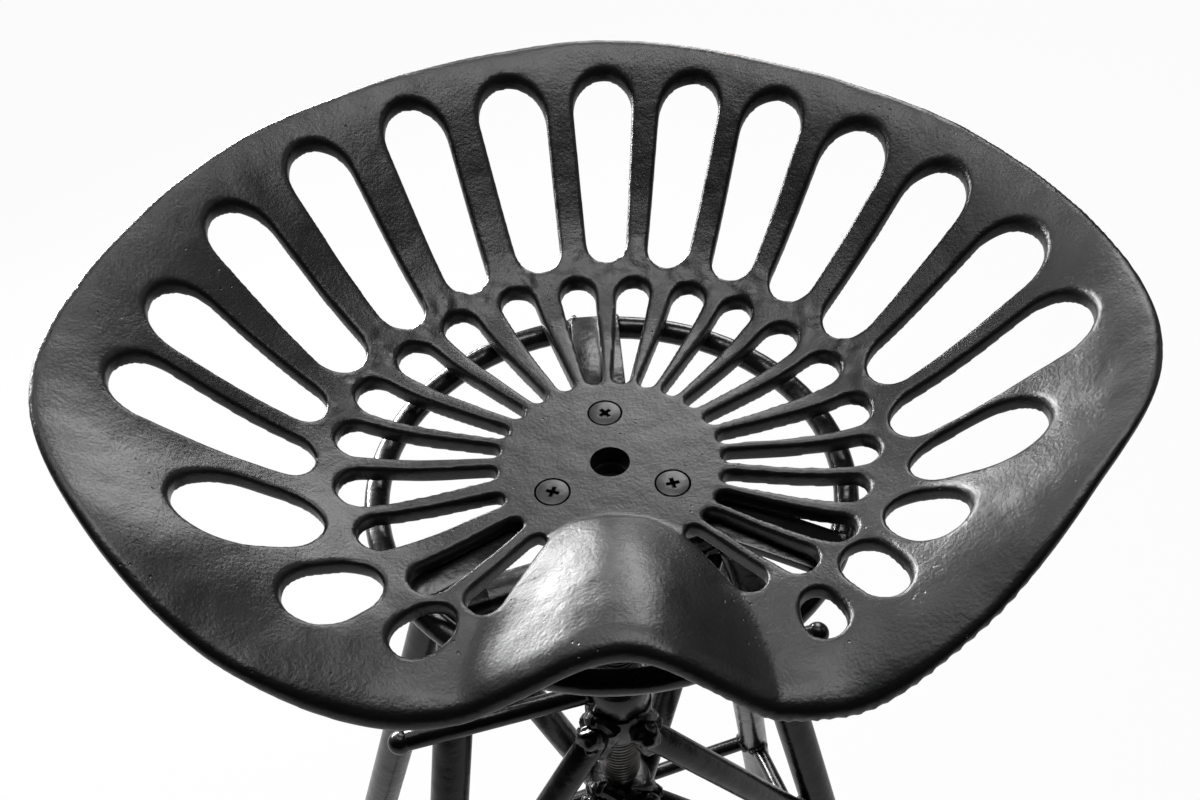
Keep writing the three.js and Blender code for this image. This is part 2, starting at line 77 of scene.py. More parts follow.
class Finish:
    def __init__(self, name):
        self.material = bpy.data.materials.new(name)
        self.material.use_nodes = True
        self.tree = self.material.node_tree
        self.tree.nodes.clear()
        self.place = self.add("ShaderNodeTexCoord", out="Object")

    def add(self, kind, settings=None, values=None, out=0):
        node = self.tree.nodes.new(kind)
        for key, value in (settings or {}).items():
            if key == "stops":
                self.setStops(node.color_ramp, value)
            else:
                setattr(node, key, value)
        for key, value in (values or {}).items():
            if isinstance(value, Wire):
                self.tree.links.new(value.socket, node.inputs[key])
            else:
                node.inputs[key].default_value = value
        if not node.outputs:
            return None
        return Wire(self, node.outputs[out])

    def setStops(self, ramp, stops):
        while len(ramp.elements) < len(stops):
            ramp.elements.new(0.5)
        for element, (position, shade) in zip(ramp.elements, stops):
            element.position = position
            element.color = (shade, shade, shade, 1)

    def noise(self, scale, detail=2, rough=0.5):
        values = {"Vector": self.place, "Scale": scale, "Detail": detail, "Roughness": rough}
        return self.add("ShaderNodeTexNoise", {}, values)

    def cells(self, scale):
        values = {"Vector": self.place, "Scale": scale}
        return self.add("ShaderNodeTexVoronoi", {}, values, out="Distance")

    def ramp(self, value, low, high):
        return self.add("ShaderNodeValToRGB", {"stops": [(low, 0), (high, 1)]}, {"Fac": value})

    def near(self, spot, radius, core=0.3):
        distance = {"operation": "DISTANCE"}
        reach = self.add("ShaderNodeVectorMath", distance, {0: self.place, 1: spot}, out="Value")
        return 1 - self.ramp(reach * (1 / radius), core, 1)

    def blendColours(self, share, first, second):
        values = {"Factor": share, 6: first, 7: second}
        return self.add("ShaderNodeMix", {"data_type": "RGBA"}, values, out=2)

    def bump(self, height, distance, under=None):
        values = {"Height": height, "Distance": distance}
        if under:
            values["Normal"] = under
        return self.add("ShaderNodeBump", {}, values)

    def close(self, values):
        surface = self.add("ShaderNodeBsdfPrincipled", {}, values)
        self.add("ShaderNodeOutputMaterial", {}, {"Surface": surface})
        return self.material


castPaint = {
    "black": (0.007, 0.007, 0.0073, 1), "worn": (0.013, 0.0128, 0.0125, 1),
    "rust": (0.16, 0.06, 0.02, 1), "grainScale": 750, "lumpScale": 90, "waveScale": 22,
    "pitScale": 260, "pitEdge": (0.06, 0.16), "pitPatches": (0.56, 0.66), "pitDepth": 2,
    "wearEdge": (0.45, 0.75),
    "rustSpots": [
        ((-0.028, 0.1475, 0.77), 0.004),
        ((0.208, 0.026, 0.769), 0.006),
        ((0.072, 0.135, 0.769), 0.004),
    ],
    "rustEdge": (0.45, 0.55), "roughness": 0.26, "lumpRoughness": 0.1, "grainRoughness": 0.08,
    "waveBump": 0.0012, "lumpBump": 0.00045, "grainBump": 0.00018,
}


def makeCastPaint():
    finish = Finish("castPaint")
    grain = finish.noise(castPaint["grainScale"], 4, 0.6)
    lumps = finish.noise(castPaint["lumpScale"], 3)
    waves = finish.noise(castPaint["waveScale"], 2)
    pits = 1 - finish.ramp(finish.cells(castPaint["pitScale"]), *castPaint["pitEdge"])
    patches = finish.noise(castPaint["lumpScale"] * 0.5)
    scattered = pits * finish.ramp(patches, *castPaint["pitPatches"])
    wear = finish.ramp(waves, *castPaint["wearEdge"])
    colour = finish.blendColours(wear, castPaint["black"], castPaint["worn"])
    rust = 0
    for spot, radius in castPaint["rustSpots"]:
        rust = rust + finish.near(spot, radius)
    rust = rust * finish.ramp(grain, *castPaint["rustEdge"])
    colour = finish.blendColours(rust, colour, castPaint["rust"])
    rough = castPaint["roughness"] + castPaint["lumpRoughness"] * lumps
    rough = rough + castPaint["grainRoughness"] * grain
    under = finish.bump(waves, castPaint["waveBump"])
    under = finish.bump(lumps, castPaint["lumpBump"], under)
    normal = finish.bump(grain - castPaint["pitDepth"] * scattered, castPaint["grainBump"], under)
    values = {"Base Color": colour, "Roughness": rough, "Normal": normal, "Specular IOR Level": 0.5}
    return finish.close(values)


tubePaint = {
    "black": (0.006, 0.006, 0.0063, 1), "dust": (0.011, 0.011, 0.011, 1), "scale": 60,
    "peelScale": 420, "dustEdge": (0.4, 0.8), "cloudRoughness": 0.2, "cloudBump": 0.0008,
    "tubes": (0.16, 0.00012),  # roughness and depth of the peel
    "screws": (0.28, 0.0001),
}


def makeTubePaint(name, rough, peel):
    finish = Finish(name)
    cloud = finish.noise(tubePaint["scale"], 3)
    fine = finish.noise(tubePaint["peelScale"], 3)
    dusty = finish.ramp(cloud, *tubePaint["dustEdge"])
    colour = finish.blendColours(dusty, tubePaint["black"], tubePaint["dust"])
    normal = finish.bump(cloud, tubePaint["cloudBump"], finish.bump(fine, peel))
    rough = rough + tubePaint["cloudRoughness"] * cloud
    return finish.close({"Base Color": colour, "Roughness": rough, "Normal": normal})


steel = {
    "bright": (0.36, 0.34, 0.33, 1), "dull": (0.16, 0.155, 0.15, 1),
    # Painted shade: a near-black, less metallic steel colour for the top of the spindle, where the
    # seat's shadow falls, blended in above a height
    "paintedShade": (0.012, 0.011, 0.01, 1), "scale": 180, "dullEdge": (0.35, 0.7), "paintedShadeFoot": 0.55,
    "paintedShadeEdge": (0.5, 0.52), "metal": 0.9, "paintedShadeMetal": 0.8, "roughness": 0.3,
    "cloudRoughness": 0.25, "bump": 0.0002,
}


def makeSteel():
    finish = Finish("bareSteel")
    cloud = finish.noise(steel["scale"], 4)
    dulled = finish.ramp(cloud, *steel["dullEdge"])
    colour = finish.blendColours(dulled, steel["bright"], steel["dull"])
    # Painted shade: above a height the steel is blended to near black and made less metallic, standing
    # in for the seat's shadow on the top of the spindle
    height = finish.add("ShaderNodeSeparateXYZ", {}, {0: finish.place}, out=2)
    paintedShadeShare = finish.ramp(height - (steel["paintedShadeFoot"] - 0.5), *steel["paintedShadeEdge"])
    colour = finish.blendColours(paintedShadeShare, colour, steel["paintedShade"])
    normal = finish.bump(cloud, steel["bump"])
    metal = steel["metal"] - steel["paintedShadeMetal"] * paintedShadeShare
    rough = steel["roughness"] + steel["cloudRoughness"] * cloud
    values = {"Base Color": colour, "Metallic": metal, "Roughness": rough, "Normal": normal}
    return finish.close(values)


footPlastic = {
    "black": (0.012, 0.012, 0.012, 1), "scuffed": (0.04, 0.039, 0.037, 1), "grainScale": 900,
    "scuffScale": 70, "scuffEdge": (0.5, 0.8), "roughness": 0.55, "scuffRoughness": 0.2,
    "bump": 0.0002,
}


def makeFootPlastic():
    finish = Finish("footPlastic")
    grain = finish.noise(footPlastic["grainScale"], 2)
    scuffs = finish.ramp(finish.noise(footPlastic["scuffScale"], 4), *footPlastic["scuffEdge"])
    colour = finish.blendColours(scuffs, footPlastic["black"], footPlastic["scuffed"])
    rough = footPlastic["roughness"] + footPlastic["scuffRoughness"] * scuffs
    normal = finish.bump(grain, footPlastic["bump"])
    return finish.close({"Base Color": colour, "Roughness": rough, "Normal": normal})


finishes = {
    "cast_seat": makeCastPaint(),
    "painted_screws": makeTubePaint("screwPaint", *tubePaint["screws"]),
    "tube_paint": makeTubePaint("tubePaint", *tubePaint["tubes"]),
    "bare_steel": makeSteel(),
    "feet": makeFootPlastic(),
}
print("finishes made")


# Helpers


def clearSelection():
    if bpy.context.object and bpy.context.object.mode != "OBJECT":
        bpy.ops.object.mode_set(mode="OBJECT")
    bpy.ops.object.select_all(action="DESELECT")


def choose(*things):
    clearSelection()
    for thing in things:
        thing.select_set(True)
    bpy.context.view_layer.objects.active = things[0]
    return things[0]


def editAll(piece, kind="VERT"):
    choose(piece)
    bpy.ops.object.mode_set(mode="EDIT")
    bpy.ops.mesh.select_mode(type=kind)
    bpy.ops.mesh.select_all(action="SELECT")


def leaveEdit():
    bpy.ops.object.mode_set(mode="OBJECT")


def selectParts(piece, kind, test):
    # Leaves the piece in edit mode, with just the parts that pass the test selected
    choose(piece)
    mesh = piece.data
    for part in [*mesh.vertices, *mesh.edges, *mesh.polygons]:
        part.select = False
    parts = {"VERT": mesh.vertices, "EDGE": mesh.edges, "FACE": mesh.polygons}[kind]
    for part in parts:
        part.select = test(part)
    bpy.ops.object.mode_set(mode="EDIT")
    bpy.ops.mesh.select_mode(type=kind)


def facesDown(face):
    return face.normal.z < -0.9


def extrude(height):
    bpy.ops.mesh.extrude_region_move(TRANSFORM_OT_translate={"value": (0, 0, height)})


def faceOutwards():
    bpy.ops.mesh.select_all(action="SELECT")
    bpy.ops.mesh.normals_make_consistent(inside=False)
    leaveEdit()


def heading(turn):
    # A level direction, by its turn from the right in degrees
    angle = math.radians(turn)
    return Vector((math.cos(angle), math.sin(angle), 0))


def applyAll(piece):
    choose(piece)
    for modifier in list(piece.modifiers):
        bpy.ops.object.modifier_apply(modifier=modifier.name)


def modify(piece, kind, **settings):
    modifier = piece.modifiers.new(kind.lower(), kind)
    for key, value in settings.items():
        setattr(modifier, key, value)
    applyAll(piece)


def placeMesh(piece):
    choose(piece)
    bpy.ops.object.transform_apply(location=True, rotation=True, scale=True)


def turnAlong(piece, start, end):
    # Lays a piece made along Z, from the origin up, between two points
    piece.rotation_mode = "QUATERNION"
    piece.rotation_quaternion = up.rotation_difference((end - start).normalized())
    piece.location = start
    placeMesh(piece)


def fuse(*parts):
    whole = choose(*parts)
    if len(parts) > 1:
        bpy.ops.object.join()
    return whole


def setVertices(piece, points):
    piece.data.vertices.foreach_set("co", np.asarray(points, np.float32).ravel())
    piece.data.update()


def getVertices(piece):
    points = np.zeros(len(piece.data.vertices) * 3, np.float32)
    piece.data.vertices.foreach_get("co", points)
    return points.reshape(-1, 3).astype(float)


def cutWith(piece, cutter):
    modify(piece, "BOOLEAN", operation="DIFFERENCE", object=cutter, solver="EXACT")
    bpy.data.objects.remove(cutter)


def softenEdges(piece, width, segments=2, angle=35):
    modify(
        piece, "BEVEL", width=width, segments=segments, limit_method="ANGLE",
        angle_limit=math.radians(angle), use_clamp_overlap=True,
    )


def finishPiece(piece, name, body, slot, nodes, angle=40):
    placeMesh(piece)
    piece.name = name
    piece.data.name = name
    piece.data.materials.clear()
    piece.data.materials.append(finishes[slot])
    choose(piece)
    bpy.ops.object.shade_smooth_by_angle(angle=math.radians(angle))
    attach(piece, body)
    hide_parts(*nodes)
    return piece


def addDisc(radius, low, high, sides=48):
    # A round bar along Z between two heights
    clearSelection()
    bpy.ops.mesh.primitive_cylinder_add(
        vertices=sides, radius=radius, depth=high - low, location=(0, 0, (low + high) / 2)
    )
    piece = bpy.context.object
    placeMesh(piece)
    return piece


def addRing(inner, outer, low, high, bevel, sides=48):
    piece = addDisc(outer, low, high, sides)
    cutWith(piece, addDisc(inner, low - outer, high + outer, sides))
    softenEdges(piece, bevel)
    return piece


weldLump = {
    "broadScale": 1.7, "broadSeed": 3.1, "fineScale": 5, "fineSeed": 2.3, "fineShare": 0.2,
    "swell": 0.22,
}


def addBlob(place, size, seed):
    # A lump of weld metal
    clearSelection()
    bpy.ops.mesh.primitive_ico_sphere_add(subdivisions=4, radius=1)
    blob = bpy.context.object
    broadShift = Vector((seed * weldLump["broadSeed"], 0, 0))
    fineShift = Vector((0, seed * weldLump["fineSeed"], 0))
    points = []
    for point in getVertices(blob):
        swell = noise.noise(Vector(point) * weldLump["broadScale"] + broadShift)
        fine = noise.noise(Vector(point) * weldLump["fineScale"] + fineShift)
        swell += weldLump["fineShare"] * fine
        points.append(Vector(point) * (1 + weldLump["swell"] * swell))
    setVertices(blob, points)
    blob.scale = size
    blob.location = place
    placeMesh(blob)
    return blob


# Base


base = {
    "turn": 19, "height": 0.7, "spindle": (0.011, -0.0465), "tubeRadius": 0.0095,
    "armRadius": 0.0072, "stretcherRadius": 0.005, "apexHalfSpan": 0.070, "apexDrop": 0.1235,
    "apexOverhang": 0.011, "pairHalfGap": 0.0147, "footHalfSpan": 0.184, "footHalfDepth": 0.132,
    "upperArmDrop": 0.175, "upperArmFootDrop": 0.345, "lowerArmDrop": 0.238,
    "lowerArmFootDrop": 0.384, "braceDrop": 0.262, "braceInset": 0.004, "armAside": 0.0085,
    "armForward": 0.010, "stretcherDrop": 0.490, "footLength": 0.032, "footWall": 0.0032,
    "sides": 40,
    "tubeShare": 0.985,  # how far down its leg a tube reaches, inside the foot
    "endBevel": 0.12,  # as a share of a tube's radius
    "footBevel": 0.0009, "tubeWall": 0.0016, "tubeHollow": 0.03, "wallBevel": 0.0004,
    "rodSides": 24, "barrels": {"brace": 0.015, "upper_arm": 0.016, "lower_arm": 0.015},
    "bead": 0.0026, "nutBead": 0.0034, "legBead": 0.003, "rodBead": 0.002, "beadSteps": 44,
    "armBlobs": [(0.35, 0.007, 0.0042), (0.75, 0.009, 0.0036), (0.05, 0.009, 0.0036)],
    "blobInset": 0.8, "blobHeight": 0.8, "rootBlob": 0.0069, "rootOut": 0.006, "washerRoom": 0.0135,
    "washerTop": 0.4237,
}


def framePoint(across, back, height):
    turn = math.radians(base["turn"])
    x = across * math.cos(turn) - back * math.sin(turn)
    return Vector((x, across * math.sin(turn) + back * math.cos(turn), height))


def spindlePoint(drop):
    return Vector((*base["spindle"], base["height"] - drop))


apexHeight = base["height"] - base["apexDrop"]
legs = {}
for backness, way in (("back", 1), ("front", -1)):
    for hand, side in (("left", -1), ("right", 1)):
        top = framePoint(side * base["apexHalfSpan"], way * base["pairHalfGap"], apexHeight)
        foot = framePoint(side * base["footHalfSpan"], way * base["footHalfDepth"], 0)
        legs[backness + "_" + hand] = (top, foot)


def legPoint(leg, drop):
    top, foot = legs[leg]
    return top.lerp(foot, (drop - base["apexDrop"]) / apexHeight)


def addTube(start, end, radius, sides=None):
    piece = addDisc(radius, 0, (end - start).length, sides or base["sides"])
    softenEdges(piece, radius * base["endBevel"])
    turnAlong(piece, start, end)
    return piece


def meetings(start, end, radius, crossStart, crossEnd, crossRadius, nearEnd):
    # Where the wall of one round bar meets another's, at steps round it; None where it misses
    along = (end - start).normalized()
    side = along.orthogonal().normalized()
    other = along.cross(side)
    cross = (crossEnd - crossStart).normalized()
    found = []
    for step in range(base["beadSteps"]):
        turn = 2 * math.pi * step / base["beadSteps"]
        outward = side * math.cos(turn) + other * math.sin(turn)
        point = start + outward * radius
        offset = point - crossStart
        flat = along - cross * along.dot(cross)
        shift = offset - cross * offset.dot(cross)
        a, b, c = flat.dot(flat), 2 * flat.dot(shift), shift.dot(shift) - crossRadius ** 2
        root = b * b - 4 * a * c
        if root < 0:
            found.append(None)
            continue
        low, high = (-b - math.sqrt(root)) / (2 * a), (-b + math.sqrt(root)) / (2 * a)
        reach = low if nearEnd else high
        found.append(point + along * reach)
    return found


weldBead = {
    "roundness": 2, "rippleStep": 0.55, "rippleLevel": 0.3, "ripple": 0.45, "puddle": 0.12,
    "taperStart": 0.6, "taperSteps": 3, "merge": 0.00002, "shortest": 4,
}


def addBead(points, closed, radius, seed):
    # A weld bead: a round cord along the joint, thick and thin as the puddles froze
    curve = bpy.data.curves.new("bead", "CURVE")
    curve.dimensions = "3D"
    curve.bevel_depth = radius
    curve.bevel_resolution = weldBead["roundness"]
    curve.use_fill_caps = True
    spline = curve.splines.new("POLY")
    spline.points.add(len(points) - 1)
    spline.use_cyclic_u = closed
    for index, (place, point) in enumerate(zip(points, spline.points)):
        point.co = (*place, 1)
        ripple = noise.noise(Vector((index * weldBead["rippleStep"], seed, weldBead["rippleLevel"])))
        inside = min(index, len(points) - 1 - index) + weldBead["taperStart"]
        taper = 1 if closed else min(1, inside / weldBead["taperSteps"])
        swell = 1 + weldBead["ripple"] * ripple + weldBead["puddle"] * (index % 2)
        point.radius = taper * swell
    bead = bpy.data.objects.new("bead", curve)
    bpy.context.scene.collection.objects.link(bead)
    choose(bead)
    bpy.ops.object.convert(target="MESH")
    bead = bpy.context.object
    editAll(bead)
    bpy.ops.mesh.remove_doubles(threshold=weldBead["merge"])
    faceOutwards()
    return bead


def weld(start, end, radius, crossStart, crossEnd, crossRadius, nearEnd, seed, bead=None):
    # Beads round the joint of two round bars: one closed ring, or the runs that the joint has
    found = meetings(start, end, radius, crossStart, crossEnd, crossRadius, nearEnd)
    bead = bead or base["bead"]
    if all(point is not None for point in found):
        return [addBead(found, True, bead, seed)]
    first = next((i for i, point in enumerate(found) if point is None), 0)
    order = found[first:] + found[:first]
    runs, run = [], []
    for point in order + [None]:
        if point is not None:
            run.append(point)
        elif run:
            runs.append(run)
            run = []
    return [addBead(run, False, bead, seed) for run in runs if len(run) > weldBead["shortest"]]


topTube = (
    framePoint(-base["apexHalfSpan"] - base["apexOverhang"], 0, apexHeight),
    framePoint(base["apexHalfSpan"] + base["apexOverhang"], 0, apexHeight),
)


def buildLegs():
    for number, (name, (top, foot)) in enumerate(legs.items()):
        end = top.lerp(foot, base["tubeShare"])
        tube = addTube(top, end, base["tubeRadius"])
        beads = weld(top, end, base["tubeRadius"], *topTube, base["tubeRadius"], False, number)
        tube = fuse(tube, *beads)
        finishPiece(tube, "weldedLeg_" + name, "base", "tube_paint", ["leg_" + name])
        buildFoot(name, top, foot)


def buildFoot(name, top, foot):
    # A ferrule with a rolled lip, cut level with the floor
    along = (foot - top).normalized()
    outer = base["tubeRadius"] + base["footWall"]
    high = foot - along * base["footLength"]
    piece = addDisc(outer, 0, base["footLength"] + outer)
    selectParts(piece, "FACE", facesDown)
    bpy.ops.mesh.inset(thickness=base["footWall"])
    extrude(base["footWall"])
    leaveEdit()
    softenEdges(piece, base["footBevel"])
    turnAlong(piece, high, foot + along * outer)
    editAll(piece)
    bpy.ops.mesh.bisect(plane_co=(0, 0, 0), plane_no=(0, 0, 1), clear_inner=True, use_fill=True)
    leaveEdit()
    finishPiece(piece, "legFoot_" + name, "base", "feet", ["foot_" + name])


def buildTopTube():
    start, end = topTube
    piece = addDisc(base["tubeRadius"], 0, (end - start).length, base["sides"])
    selectParts(piece, "FACE", lambda face: abs(face.normal.z) > 0.9)
    bpy.ops.mesh.inset(thickness=base["tubeWall"])
    leaveEdit()
    for sign in (1, -1):
        selectParts(piece, "FACE", lambda face: face.normal.z * sign > 0.9 and len(face.vertices) > 8)
        extrude(-sign * base["tubeHollow"])
        leaveEdit()
    softenEdges(piece, base["wallBevel"])
    turnAlong(piece, start, end)
    finishPiece(piece, "crossTube", "base", "tube_paint", ["top_tube"])


def armBlobs(start, end, side):
    # Lumps of weld over the joint with the nut, and one in its root. Each row of armBlobs gives the
    # share round the joint, the distance out and the size
    blobs = []
    along = (end - start).normalized()
    over = along.cross(Vector((side, 0, 0)).cross(along)).normalized()
    beside = along.cross(over)
    for number, (share, out, width) in enumerate(base["armBlobs"]):
        turn = math.pi * (share - 0.5)
        outward = over * math.cos(turn) + beside * math.sin(turn)
        place = start + along * out + outward * base["armRadius"] * base["blobInset"]
        size = (width, width, width * base["blobHeight"])
        blobs.append(addBlob(place, size, number * 7 + side * 3 + start.z * 50))
    root = base["rootBlob"]
    outwards = Vector((side * base["armAside"], -base["armForward"], 0)).normalized()
    place = start + outwards * base["rootOut"]
    blobs.append(addBlob(place, (root, root, root), side * 5 + start.z * 30))
    return blobs


def clearWasher(piece):
    # Keeps the welds above the highest place of the stop washer
    points = []
    for point in getVertices(piece):
        near = (spindlePoint(0) - Vector((*point[:2], 0))).xy.length < base["washerRoom"]
        points.append(Vector((*point[:2], max(point[2], base["washerTop"]))) if near else point)
    setVertices(piece, points)


armNames = {"brace": "braceTube_", "upper_arm": "upperArm_", "lower_arm": "lowerArm_"}


def buildArms():
    column = (spindlePoint(0), spindlePoint(0.4))
    radius = base["armRadius"]
    for side, hand in ((-1, "left"), (1, "right")):
        aside = Vector((side * base["armAside"], -base["armForward"], 0))
        behind = Vector((side * base["armAside"], base["armForward"], 0))
        front = "front_" + hand
        hold = side * (base["apexHalfSpan"] - base["braceInset"])
        upperStart = spindlePoint(base["upperArmDrop"]) + aside
        lowerStart = spindlePoint(base["lowerArmDrop"]) + aside
        runs = {
            "brace": (spindlePoint(base["braceDrop"]) + behind, framePoint(hold, 0, apexHeight)),
            "upper_arm": (upperStart, legPoint(front, base["upperArmFootDrop"])),
            "lower_arm": (lowerStart, legPoint(front, base["lowerArmFootDrop"])),
        }
        for kind, (start, end) in runs.items():
            run = (start, end, radius)
            tube = addTube(*run)
            beads = weld(*run, *column, base["barrels"][kind], False, side + 2, base["nutBead"])
            if kind == "brace":
                beads += weld(*run, *topTube, base["tubeRadius"], True, side + 5)
            else:
                beads += armBlobs(start, end, side)
                beads += weld(*run, *legs[front], base["tubeRadius"], True, side + 7, base["legBead"])
            piece = fuse(tube, *beads)
            clearWasher(piece)
            finishPiece(piece, armNames[kind] + hand, "base", "tube_paint", [kind + "_" + hand])


def buildStretchers():
    runs = {
        "back": ("back_left", "back_right"),
        "front": ("front_left", "front_right"),
        "left": ("back_left", "front_left"),
        "right": ("back_right", "front_right"),
    }
    for number, (name, (one, other)) in enumerate(runs.items()):
        ends = [legPoint(leg, base["stretcherDrop"]) for leg in (one, other)]
        run = (*ends, base["stretcherRadius"])
        rod = addTube(*run, base["rodSides"])
        beads = weld(*run, *legs[one], base["tubeRadius"], False, number + 11, base["rodBead"])
        beads += weld(*run, *legs[other], base["tubeRadius"], True, number + 15, base["rodBead"])
        rod = fuse(rod, *beads)
        finishPiece(rod, "stretcherRod_" + name, "base", "tube_paint", ["stretcher_" + name])


guides = {
    "nutDrop": 0.1635, "nutHeight": 0.018, "nutRadius": 0.016, "nutBore": 0.0103,
    "bushDrop": 0.236, "bushHeight": 0.040, "bushRadius": 0.015, "bushBore": 0.0063, "bevel": 0.001,
}


def buildGuides():
    x, y = base["spindle"]
    for name, node, start in (("spindleNut", "spindle_nut", "nut"), ("guideBush", "guide_bush", "bush")):
        high = base["height"] - guides[start + "Drop"]
        low = high - guides[start + "Height"]
        piece = addRing(guides[start + "Bore"], guides[start + "Radius"], low, high, guides["bevel"])
        piece.location = (x, y, 0)
        finishPiece(piece, name, "base", "tube_paint", [node])


buildLegs()
buildTopTube()
buildArms()
buildStretchers()
buildGuides()
print("base built")


# Spindle and lock


spindle = {
    "radius": 0.010, "rootRadius": 0.0091, "pitch": 0.0025, "top": 0.6864, "shoulder": 0.472,
    "pinRadius": 0.006, "pinEnd": 0.378, "pinInside": 0.002, "steps": 24, "threadStart": 0.001,
    "coreProud": 0.00002, "coreBevel": 0.0008, "pinBevel": 0.0006,
    "screwMerge": 0.00001, "merge": 0.00002,
    "profile": [
        ("rootRadius", 0), ("radius", 0.3), ("radius", 0.55), ("rootRadius", 0.85), ("rootRadius", 1),
    ],
}


def buildSpindle():
    # One turn of the thread's profile is screwed up the bar, over a core that fills it
    turns = int((spindle["top"] - spindle["shoulder"]) / spindle["pitch"]) - 1
    clearSelection()
    bpy.ops.mesh.primitive_plane_add(size=1)
    strip = bpy.context.object
    profile = [(spindle[key], spindle["pitch"] * share) for key, share in spindle["profile"]]
    editAll(strip)
    bpy.ops.mesh.delete(type="EDGE_FACE")
    bpy.ops.mesh.select_all(action="SELECT")
    bpy.ops.mesh.merge(type="CENTER")
    for (r, z), (r2, z2) in zip(profile, profile[1:]):
        bpy.ops.mesh.extrude_vertices_move(TRANSFORM_OT_translate={"value": (r2 - r, 0, z2 - z)})
    leaveEdit()
    strip.location = (spindle["rootRadius"], 0, 0)
    placeMesh(strip)
    modify(
        strip, "SCREW", axis="Z", screw_offset=spindle["pitch"], angle=2 * math.pi, iterations=turns,
        steps=spindle["steps"], render_steps=spindle["steps"], use_merge_vertices=True,
        merge_threshold=spindle["screwMerge"],
    )
    editAll(strip)
    bpy.ops.mesh.remove_doubles(threshold=spindle["merge"])
    bpy.ops.mesh.select_all(action="DESELECT")
    leaveEdit()
    strip.location = (*base["spindle"], spindle["shoulder"] + spindle["threadStart"])
    placeMesh(strip)
    coreRadius = spindle["rootRadius"] + spindle["coreProud"]
    core = addDisc(coreRadius, spindle["shoulder"], spindle["top"])
    softenEdges(core, spindle["coreBevel"])
    pin = addDisc(spindle["pinRadius"], spindle["pinEnd"], spindle["shoulder"] + spindle["pinInside"])
    softenEdges(pin, spindle["pinBevel"])
    for part in (core, pin):
        part.location = (*base["spindle"], 0)
        placeMesh(part)
    whole = fuse(core, strip, pin)
    finishPiece(whole, "threadedSpindle", "spindle", "bare_steel", ["spindle"], 25)


lock = {
    "nutBore": 0.0103, "nutRadius": 0.015, "nutFoot": 0.5368, "nutHeight": 0.017, "bevel": 0.0015,
    "turn": 15, "barHeight": 0.545, "barRadius": 0.0048, "barInside": 0.002, "barSides": 32,
    "reach": {"right": 0.1055, "left": 0.109}, "ballRadius": 0.0056, "bead": 0.002,
}


def buildLock():
    x, y = base["spindle"]
    low = lock["nutFoot"]
    nut = addRing(lock["nutBore"], lock["nutRadius"], low, low + lock["nutHeight"], lock["bevel"])
    nut.location = (x, y, 0)
    finishPiece(nut, "lockNut", "lock_handle", "tube_paint", ["lock_nut"])
    for hand, side in (("right", 1), ("left", -1)):
        out = heading(lock["turn"]) * side
        centre = Vector((x, y, lock["barHeight"]))
        start = centre + out * (lock["nutRadius"] - lock["barInside"])
        end = centre + out * (lock["reach"][hand] - lock["ballRadius"])
        run = (start, end, lock["barRadius"])
        bar = addTube(*run, lock["barSides"])
        clearSelection()
        bpy.ops.mesh.primitive_uv_sphere_add(
            segments=32, ring_count=20, radius=lock["ballRadius"], location=end
        )
        ball = bpy.context.object
        placeMesh(ball)
        column = (centre, centre + up)
        beads = weld(*run, *column, lock["nutRadius"], False, side + 21, lock["bead"])
        bar = fuse(bar, ball, *beads)
        finishPiece(bar, "lockHandle_" + hand, "lock_handle", "tube_paint", ["lock_handle_" + hand])


buildSpindle()
buildLock()
print("spindle and lock built")


# Spider under the seat


spider = {
    "turn": 3, "hoopRadius": 0.0935, "hoopRod": 0.005, "hoopHeight": 0.6858,
    "plateRadius": 0.040, "strapWidth": 0.021, "strapTop": 0.6917, "strapThickness": 0.004,
    "screwCircle": 0.027, "plateGap": 0.0003, "strapReach": 0.4, "strapBevel": 0.0008,
    "restBead": 0.0022, "restSteps": 8, "restDrop": 0.002, "restTaper": 0.1,
}
screwTurns = {"back": 90, "left": 210, "right": 330}


def buildSpider():
    x, y = base["spindle"]
    clearSelection()
    bpy.ops.mesh.primitive_torus_add(
        major_segments=96, minor_segments=20, major_radius=spider["hoopRadius"],
        minor_radius=spider["hoopRod"], location=(x, y, spider["hoopHeight"]),
    )
    hoop = bpy.context.object
    placeMesh(hoop)
    rests = []
    for name, turn in screwTurns.items():
        out = heading(turn + spider["turn"])
        across = Vector((-out.y, out.x, 0))
        reach = spider["hoopRadius"] + spider["hoopRod"] * spider["strapReach"]
        clearSelection()
        bpy.ops.mesh.primitive_cube_add(size=1)
        strap = bpy.context.object
        inner = spider["plateRadius"] + spider["plateGap"]
        strap.scale = (reach - inner, spider["strapWidth"], spider["strapThickness"])
        strap.location = ((reach + inner) / 2, 0, spider["strapTop"] - spider["strapThickness"] / 2)
        placeMesh(strap)
        softenEdges(strap, spider["strapBevel"])
        strap.rotation_euler = (0, 0, math.radians(turn + spider["turn"]))
        placeMesh(strap)
        strap.location = (x, y, 0)
        finishPiece(strap, "hubStrap_" + name, "seat", "tube_paint", ["spider_strap_" + name])
        for sign in (-1, 1):
            middle = Vector((x, y, 0)) + out * spider["hoopRadius"]
            line = []
            for step in range(spider["restSteps"] + 1):
                share = step / spider["restSteps"]
                aside = sign * spider["strapWidth"] * (0.5 - spider["restTaper"] * share)
                spot = middle + across * aside + out * (share - 0.5) * spider["hoopRod"] * 2
                line.append(spot + up * (spider["strapTop"] - spider["restDrop"]))
            rests.append(addBead(line, False, spider["restBead"], turn + sign))
    finishPiece(fuse(hoop, *rests), "seatHoop", "seat", "tube_paint", ["spider_hoop"])


screws = {
    "headRadius": 0.0065, "headDepth": 0.0032, "headShare": 1.3, "headFoot": 0.55, "headBevel": 0.0003,
    "shank": 0.004, "shankShare": 1.2, "foot": 0.6765, "recessLength": 0.0074, "recessWidth": 0.0023,
    "recessDepth": 0.003, "recessFoot": 0.45, "turn": 40, "turnStep": 31,
}


